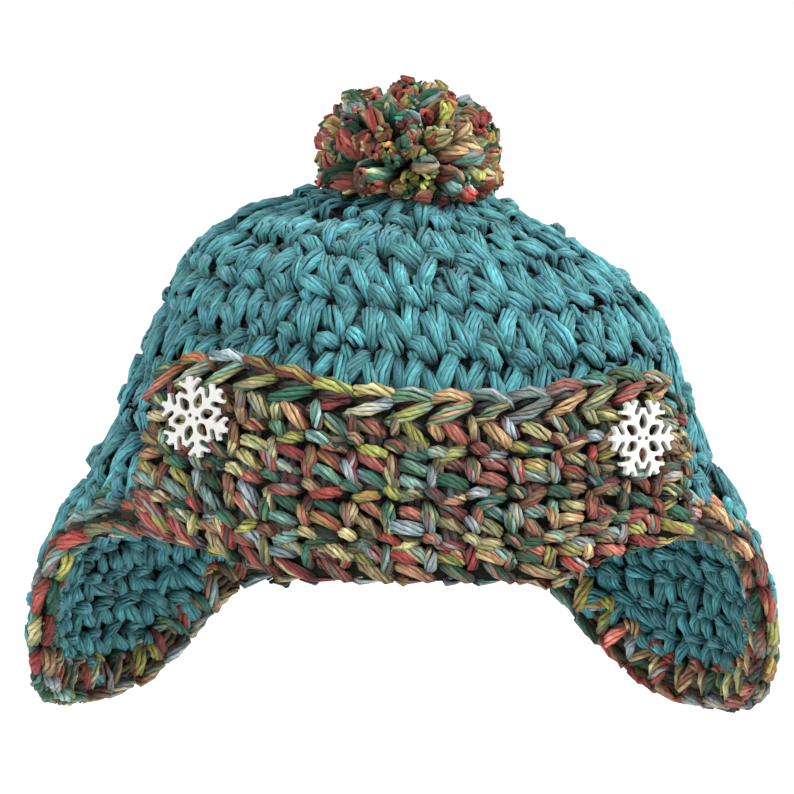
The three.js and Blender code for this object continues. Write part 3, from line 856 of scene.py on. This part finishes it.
def crochet(yarn, stitch, places, surface, ply_radius, dyes, settings, rings=5, fewer=0, mirror=1,
            rope=False, jitter=1.0, sway=0.0, aspect=1.0, strength=1.0):
    """Adds every lump of every stitch: its controls are curved, then laid on the surface.

    A lump's lift is that of its ends plus plateau(u) times what the middle stands higher. It
    lies flat, its plies side by side, or is a round rope of them. sway turns lumps by about
    that many radians, where a stitch is aspect times as tall as wide. Fills lie in shadow,
    which is painted into their colour.
    """
    shadow = FILL_SHADE_IN_ROPES if rope else FILL_SHADE_IN_FLATS
    for name, (points, plies, ends, twist) in stitch.items():
        plies = max(2, plies - fewer)
        behind = "fill" in name or "back" in name
        if behind:
            u = end_spaced(FILL_RINGS)
        else:
            u = end_spaced(rings if plies > 4 else max(3, rings - 1))
        thick = FILL_THICKNESS * ply_radius if behind else ply_radius
        controls = np.array(points)[None] * (mirror, 1, 1)
        stray = yarn.random.normal(0, 1, (len(places), 4, 3)) * CONTROL_STRAY
        stray = stray + yarn.random.normal(0, 1, (len(places), 1, 3)) * LUMP_STRAY
        controls = controls + stray * jitter
        turned = yarn.random.normal(0, sway, (len(places), 1))
        off = controls[..., :2] - controls[..., :2].mean(1, keepdims=True)
        controls[..., 0] -= turned * off[..., 1] * aspect
        controls[..., 1] += turned * off[..., 0] / aspect
        curve = curve_points(controls[..., :2], u)
        low, start, end, last = np.moveaxis(controls[..., 2:], 1, 0)
        low = low + (last - low) * u
        lift = low + (start + (end - start) * u - low) * plateau(u)
        path, normal = surface(places[:, None, 0] + curve[..., 0] * places[:, None, 2],
                               places[:, None, 1] + curve[..., 1] * places[:, None, 3], lift)
        dye_and_shade = dyes(yarn.random, len(places), plies, settings)
        # Fills get painted shade: their dyed colour is darkened by the share given for shade
        dye_and_shade = dye_and_shade * (shadow if behind else 1) * strength
        if rope:
            yarn.bundle(path, normal, plies, thick, dye_and_shade, ends, twist, TURN * (plies - 1) / plies,
                        flat=ROPE_FLATNESS, depth=ROPE_CREASE_SHADE)
        else:
            yarn.bundle(path, normal, plies, thick, dye_and_shade, ends, twist * FLAT_TWIST, FLAT_SPAN)


def on_flap(folded, height):
    """Whether a place, by its angle from the front and its height, belongs to an ear flap."""
    return (height < table(CROWN_EDGE, np.abs(folded))) & (np.abs(folded) < FLAP_END)


def place_heights(places, tilt):
    """Angle from the front and height above the rim of crown stitches, with the rounds' tilt."""
    row = places[:, 1] - tilt * np.sin(np.radians(places[:, 0]))
    return fold(places[:, 0]), height_at(arc_of_row(row))


def painted_shade_skin(name, lift, face):
    """A thin skin of painted shade behind the stitches, on a grid of angle and row, out to the hem.

    A quad is kept where its middle lies inside the hem; face is 1 outwards and -1 inwards.
    """
    columns, rows = 100, 60
    half_row, margin = 0.12, 1.5
    degrees, row = np.meshgrid(np.linspace(-180, 180, columns + 1)[:-1], np.linspace(-5, 8.9, rows))
    point, _ = cloth(degrees, arc_of_row(row), np.full(degrees.shape, lift))
    index = np.arange(rows * columns).reshape(rows, columns)
    right = np.roll(index, -1, axis=1)
    quads = np.stack([index[:-1], right[:-1], right[1:], index[1:]], -1).reshape(-1, 4)
    middle = (degrees + 180 / columns)[:-1].ravel()
    height = height_at(arc_of_row(row[:-1].ravel() + half_row))
    quads = quads[hem_distance(middle, height) > margin]
    used, quads = np.unique(quads[:, ::face], return_inverse=True)
    return skin_mesh(name, point.reshape(-1, 3)[used], quads.reshape(-1, 4))


class HatYarnSettings(bpy.types.PropertyGroup):
    """Sizes and colours of the yarn."""
    stitch_width: FloatProperty(
        name="Stitch width", description="Width of a crown stitch in millimetres", default=11.1)
    flap_stitch: FloatProperty(
        name="Flap stitch", description="Width of a stitch of the ear flaps in millimetres",
        default=9.6)
    mixed_strength: FloatProperty(
        name="Mixed yarn strength", description="How strong the dyes of the mixed yarn are",
        default=0.53)
    ply: FloatProperty(
        name="Ply radius", description="Radius of one ply of the yarn in millimetres", default=0.7)
    button_grid: FloatProperty(
        name="Button grid", description="Grid that the buttons are rounded on, in millimetres",
        default=0.33)
    band_stitch: FloatProperty(
        name="Band stitch", description="Width of a band stitch in millimetres", default=12.4)
    tilt: FloatProperty(
        name="Tilt of rounds", description="How far the rounds climb to the left, in rows",
        default=0.3)
    teal: FloatVectorProperty(
        name="Teal yarn", description="Colour of the crown's yarn", default=(0.051, 0.213, 0.232),
        subtype="COLOR", size=3, min=0, max=1)


class HAT_OT_crown(bpy.types.Operator):
    """Crochets the crown in rounds of tall stitches, and its inside in coarser yarn"""
    bl_idname = "hat.crown"
    bl_label = "Crown stitches"

    def execute(self, context):
        settings = context.scene.hat_yarn
        material = yarn_material("teal_yarn", sheen=0.16, fuzz=TEAL_FUZZ)
        places = row_places(settings.stitch_width, range(-5, 9), step=1.0, shift=0.06,
                            level=CROWN_BAR_LEVEL)
        folded, height = place_heights(places, settings.tilt)
        margin, depth = UNDER_BAND
        hidden = ((folded > BAND_ENDS[0] + margin) & (folded < BAND_ENDS[1] - margin)
                  & (height < table(BAND_TOP, folded) - depth)) | on_flap(folded, height)
        chosen = (hem_distance(folded, height) > CROWN_MARGIN) & ~hidden
        surface = crown_surface(settings.tilt, 1, 0.0)
        for name, part in (("crown_lower_rounds", places[:, 1] < 4),
                           ("crown_upper_rounds", places[:, 1] > 4)):
            yarn = Yarn(SEEDS[name])
            crochet(yarn, CROWN_STITCH, places[chosen & part], surface, settings.ply, teal_dyes,
                    settings, jitter=2.1, sway=0.16, aspect=1.7)
            add_piece(yarn.mesh(name), material, ["crown"])
        places = row_places(settings.flap_stitch, range(-10, 18), step=0.5, shift=0.5, level=0.5)
        folded, height = place_heights(places, settings.tilt)
        chosen = (hem_distance(folded, height) > INSIDE_MARGIN) & ~on_flap(folded, height)
        name = "crown_inside_stitches"
        yarn = Yarn(SEEDS[name])
        crochet(yarn, FLAP_STITCH, places[chosen], crown_surface(settings.tilt, -1, -INSIDE_DEPTH),
                settings.ply * INSIDE_PLY, teal_dyes, settings, rings=3, fewer=3, mirror=-1)
        add_piece(yarn.mesh(name), material, ["crown"])
        return {"FINISHED"}


class HAT_OT_flaps(bpy.types.Operator):
    """Crochets both faces of the ear flaps in rows of short stitches"""
    bl_idname = "hat.flaps"
    bl_label = "Ear flaps"

    def execute(self, context):
        settings = context.scene.hat_yarn
        material = yarn_material("flap_yarn", sheen=0.12, fuzz=TEAL_FUZZ)
        places = row_places(settings.flap_stitch, range(-10, 4), step=0.5, shift=0.5, level=0.5)
        folded, height = place_heights(places, settings.tilt)
        flaps = hem_distance(folded, height) > FLAP_MARGIN
        flaps = flaps & on_flap(folded, height - FLAP_OVERLAP)
        for side, node in ((-1, "ear_flap_left"), (1, "ear_flap_right")):
            yarn = Yarn(SEEDS["flaps"] + side)
            chosen = places[flaps & (np.sign(folded) == side)]
            for face, rest in ((1, 0.0), (-1, -INSIDE_DEPTH)):
                crochet(yarn, FLAP_STITCH, chosen, crown_surface(settings.tilt, face, rest),
                        settings.ply, teal_dyes, settings, mirror=face, jitter=1.8, sway=0.4,
                        strength=1.04)
            add_piece(yarn.mesh(node + "_stitches"), material, [node])
        return {"FINISHED"}


class HAT_OT_painted_shade(bpy.types.Operator):
    """Lays dark skins of painted shade behind the stitches, so that gaps look as deep as the cloth"""
    bl_idname = "hat.backing"
    bl_label = "Painted shade skins"

    def execute(self, context):
        # Near-black skins that paint the shade deep between the crown's stitches
        material = shade_material("teal_shade", (0.004, 0.014, 0.016))
        for name, lift, face in (("crown_painted_shade_outer", -3.0, 1), ("crown_painted_shade_inner", -3.4, -1)):
            add_piece(painted_shade_skin(name, lift, face), material, ["crown"])
        return {"FINISHED"}


class HAT_OT_band(bpy.types.Operator):
    """Crochets the turned-up band: rows of bars and posts between a braid and a rolled edge"""
    bl_idname = "hat.band"
    bl_label = "Front band"

    def execute(self, context):
        settings = context.scene.hat_yarn
        yarn = Yarn(SEEDS["band"])
        middle = np.linspace(*BAND_ENDS, 300)
        line, _ = band_surface(middle, np.full(300, 0.5), np.zeros(300))
        run = run_along(line)
        count = round(run[-1] / settings.band_stitch)

        def band_row(share, tall, shift):
            """Stitch centres of one row: equally far apart along the band's middle line."""
            at = (np.arange(count) + 0.5 + shift) / count
            degrees = np.interp(at * run[-1], run, middle)
            width = (np.interp(at * run[-1] + 1, run, middle) - degrees) * run[-1] / count
            return np.stack([degrees, np.full(count, share), width, np.full(count, tall)], -1)

        rows = [band_row(BAND_FIRST + row * BAND_STEP, BAND_STEP, 0.06 * row) for row in range(3)]
        for stitch, places, jitter in ((BAND_STITCH, np.concatenate(rows), 1.5),
                                       (EDGE_STITCH, band_row(*BAND_EDGE, 0.2), 1.2),
                                       (BRAID_STITCH, band_row(*BAND_BRAID, 0.0), 0.8)):
            crochet(yarn, stitch, places, band_surface, settings.ply, mixed_dyes, settings,
                    rope=True, jitter=jitter, sway=0.12 * jitter, strength=1.5 - 0.38 * jitter)
        add_piece(yarn.mesh("band_stitches"), yarn_material("mixed_yarn"), ["front_band"])
        # Two near-black skins behind the band's stitches paint the shade in its gaps
        degrees, share = np.meshgrid(np.linspace(*BAND_ENDS, 50), np.linspace(-0.12, 0.93, 24))
        material = shade_material("band_shade", (0.01, 0.012, 0.009))
        for name, lift in (("band_painted_shade", -3.0), ("band_painted_shade_back", -6.3)):
            point, _ = band_surface(degrees, share, np.full(degrees.shape, float(lift)))
            index = np.arange(point.shape[0] * point.shape[1]).reshape(point.shape[:2])
            quads = np.stack([index[:-1, :-1], index[:-1, 1:], index[1:, 1:], index[1:, :-1]], -1)
            mesh = skin_mesh(name, point.reshape(-1, 3), quads.reshape(-1, 4))
            add_piece(mesh, material, ["front_band"])
        return {"FINISHED"}


class HAT_OT_edging(bpy.types.Operator):
    """Works the mixed yarn round both flaps and the nape, chained over the hem"""
    bl_idname = "hat.edging"
    bl_label = "Edging"

    def execute(self, context):
        settings = context.scene.hat_yarn
        run, line, inward = hem_line()
        yarn = Yarn(SEEDS["edging"])
        count = round(run[-1] / EDGING_PITCH)
        pitch = run[-1] / count
        at = (np.arange(count) + 0.5) * pitch
        places = np.stack([at, np.zeros(count), np.full(count, pitch), np.ones(count)], -1)
        for side in (-1, 1):
            surface = edging_surface(side, run, line, inward)
            crochet(yarn, EDGING_STITCH, places, surface, settings.ply * EDGING_PLY, mixed_dyes,
                    settings, rope=True, jitter=1.5, sway=0.1, strength=1.15)
        add_piece(yarn.mesh("edging_stitches"), yarn_material("edging_yarn"), ["rim_edging"])
        return {"FINISHED"}


class HAT_OT_buttons(bpy.types.Operator):
    """Rounds the edges of the two snowflake buttons and gives them white plastic"""
    bl_idname = "hat.buttons"
    bl_label = "Snowflake buttons"

    def execute(self, context):
        settings = context.scene.hat_yarn
        material = plastic_material("white_plastic")
        for node in ("snowflake_button_left", "snowflake_button_right"):
            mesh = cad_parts[node].data.copy()
            mesh.materials.clear()
            solid = bmesh.new()
            solid.from_mesh(mesh)
            bmesh.ops.remove_doubles(solid, verts=solid.verts, dist=1e-5)
            solid.to_mesh(mesh)
            solid.free()
            draft = bpy.data.objects.new(node + "_draft", mesh)
            context.scene.collection.objects.link(draft)
            remesh = draft.modifiers.new("remesh", "REMESH")
            remesh.mode = "VOXEL"
            remesh.voxel_size = settings.button_grid * MM
            trim = draft.modifiers.new("trim", "DISPLACE")
            trim.strength = -BUTTON_TRIM * MM
            trim.mid_level = 0.0
            soften = draft.modifiers.new("soften", "SMOOTH")
            soften.factor = 0.5
            soften.iterations = BUTTON_SOFTENINGS
            context.view_layer.update()
            shaped = draft.evaluated_get(context.evaluated_depsgraph_get())
            finished = bpy.data.meshes.new_from_object(shaped)
            finished.name = node + "_moulded"
            bpy.data.objects.remove(draft)
            finished.polygons.foreach_set("use_smooth", np.ones(len(finished.polygons), bool))
            add_piece(finished, material, [node])
        return {"FINISHED"}


class HAT_OT_pompom(bpy.types.Operator):
    """Ties the pompom: blunt cut ends of the mixed yarn that curl all round a middle"""
    bl_idname = "hat.pompom"
    bl_label = "Pompom"

    def execute(self, context):
        settings = context.scene.hat_yarn
        yarn = Yarn(SEEDS["pompom"])
        random = yarn.random
        count = POMPOM_ENDS
        plies = POMPOM_PLIES
        # The ends point all round in a spiral of golden angles, down to a little below level
        turn = np.arange(count) * math.pi * (3 - math.sqrt(5))
        rise = 1 - (np.arange(count) + 0.5) / count * 1.4
        flat = np.sqrt(1 - np.clip(rise, -1, 1) ** 2)
        out = np.stack([flat * np.cos(turn), flat * np.sin(turn), rise], -1)
        out = unit(out + random.normal(0, 0.08, out.shape))
        low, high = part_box("pompom")
        middle = np.array([(low[0] + high[0]) / 2, (low[1] + high[1]) / 2, 0.0]) / MM
        middle[2] = POMPOM_MIDDLE - RIM_TO_ORIGIN
        tall = np.where(out[:, 2] > 0, *POMPOM_UP_DOWN)
        length = ((np.abs(out[:, 0]) / POMPOM_REACH) ** POMPOM_POWER
                  + (np.abs(out[:, 1]) / POMPOM_REACH) ** POMPOM_POWER
                  + (np.abs(out[:, 2]) / tall) ** POMPOM_POWER) ** (-1 / POMPOM_POWER)
        length = (length * (0.96 + random.normal(0, 0.04, count)))[:, None]
        bend = random.normal(0, 2.6, (count, 3))
        bend -= out * (bend * out).sum(-1, keepdims=True)
        path = np.stack([middle + out * length * 0.4,
                         middle + out * length * 0.7 - bend * 0.3,
                         middle + out * length * 0.95 + bend * 0.2,
                         middle + out * length + bend], 1)
        path[..., 2] = np.maximum(path[..., 2], POMPOM_UNDERSIDE - RIM_TO_ORIGIN)
        path = curve_points(path, end_spaced(5))
        facing = unit(np.cross(out, random.normal(0, 1, out.shape)))
        normal = np.broadcast_to(facing[:, None], path.shape)
        dye_and_shade = mixed_dyes(random, count, plies, settings, 1.35)
        # Shade is painted into the ends' colour on their backs and towards the middle, none at their
        # tips
        yarn.bundle(path, normal, plies, settings.ply * POMPOM_PLY, dye_and_shade, (0.5, 1.2), 0.3,
                    TURN * (plies - 1) / plies, flat=1.0, spread=0.75, sides=5, ragged=0.45,
                    painted_end_shade=(1, 0), depth=0.5, even=True)
        add_piece(yarn.mesh("pompom_ends"), yarn_material("pompom_yarn"), ["pompom"])
        return {"FINISHED"}


class HAT_OT_stage(bpy.types.Operator):
    """Adds the floor, the studio lights and the camera"""
    bl_idname = "hat.stage"
    bl_label = "Studio"

    def execute(self, context):
        mesh = bpy.data.meshes.new("studio_floor")
        level = CAD_BOX[0][2] - FLOOR_DROP
        corners = [(x * FLOOR_HALF, y * FLOOR_HALF, level)
                   for x, y in ((-1, -1), (1, -1), (1, 1), (-1, 1))]
        mesh.from_pydata(corners, [], [(0, 1, 2, 3)])
        floor = bpy.data.objects.new("studio_floor", mesh)
        context.scene.collection.objects.link(floor)
        shader = Shader("white_paper")
        shader.feed("Base Color", (0.92, 0.92, 0.92, 1))
        shader.feed("Roughness", 0.9)
        shader.feed("Emission Color", (1, 1, 1, 1))
        shader.feed("Emission Strength", 0.2)
        mesh.materials.append(shader.material)
        world = bpy.data.worlds.new("studio")
        world.use_nodes = True
        sky = world.node_tree.nodes["Background"]
        sky.inputs["Color"].default_value = (1, 1, 1, 1)
        sky.inputs["Strength"].default_value = SKY_STRENGTH
        context.scene.world = world
        for light in LIGHTS:
            self.light(context, *light)
        context.scene.view_settings.view_transform = "Standard"
        self.camera(context)
        return {"FINISHED"}

    def light(self, context, name, place, size, power):
        """A square soft light at a place, turned to the hat."""
        lamp = bpy.data.lights.new(name, "AREA")
        lamp.size = size
        lamp.energy = power
        bulb = bpy.data.objects.new(name, lamp)
        context.scene.collection.objects.link(bulb)
        bulb.location = place
        aim = Vector(LIGHTS_AIM) - Vector(place)
        bulb.rotation_euler = aim.to_track_quat("-Z", "Y").to_euler()

    def camera(self, context):
        """Looks along the fitted view, through a long lens from a little above and left."""
        azimuth = math.radians(VIEW_AZIMUTH)
        elevation = math.radians(VIEW_ELEVATION)
        roll = math.radians(VIEW_ROLL)
        right = Vector((math.cos(azimuth), math.sin(azimuth), 0))
        look = Vector((-math.sin(azimuth) * math.cos(elevation),
                       math.cos(azimuth) * math.cos(elevation), -math.sin(elevation)))
        up = right.cross(look)
        frame_right = right * math.cos(roll) + up * math.sin(roll)
        frame_up = up * math.cos(roll) - right * math.sin(roll)
        # The frame's centre lies left of and above the pivot, round which the picture rolls
        pivot = Vector((0, 0, -RIM_TO_ORIGIN * MM)) + up * VIEW_PIVOT * MM
        centre = (pivot + frame_right * (VIEW_CENTRE[0] * MM)
                  + frame_up * ((VIEW_CENTRE[1] - VIEW_PIVOT) * MM))
        camera = bpy.data.cameras.new("camera")
        camera.sensor_width = SENSOR
        camera.lens = SENSOR * VIEW_DISTANCE / VIEW_WIDTH
        camera.clip_end = 20
        holder = bpy.data.objects.new("camera", camera)
        context.scene.collection.objects.link(holder)
        turn = Matrix((frame_right, frame_up, -look)).transposed().to_4x4()
        holder.matrix_world = Matrix.Translation(centre - look * VIEW_DISTANCE) @ turn
        context.scene.camera = holder


class HAT_PT_panel(bpy.types.Panel):
    """Lists the hat's steps in the sidebar"""
    bl_label = "Trapper hat"
    bl_idname = "HAT_PT_panel"
    bl_space_type = "VIEW_3D"
    bl_region_type = "UI"
    bl_category = "Hat"

    def draw(self, context):
        for operator in OPERATORS:
            self.layout.operator(operator.bl_idname)


OPERATORS = (HAT_OT_crown, HAT_OT_flaps, HAT_OT_painted_shade, HAT_OT_band, HAT_OT_edging,
             HAT_OT_buttons, HAT_OT_pompom, HAT_OT_stage)
CLASSES = (HatYarnSettings, *OPERATORS, HAT_PT_panel)


def register():
    for item in CLASSES:
        bpy.utils.register_class(item)
    bpy.types.Scene.hat_yarn = PointerProperty(type=HatYarnSettings)


def unregister():
    del bpy.types.Scene.hat_yarn
    for item in reversed(CLASSES):
        bpy.utils.unregister_class(item)


def main():
    """Registers the hat's steps and runs them in order."""
    register()
    for operator in OPERATORS:
        group, name = operator.bl_idname.split(".")
        getattr(getattr(bpy.ops, group), name)()
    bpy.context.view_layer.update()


if __name__ == "__main__":
    main()
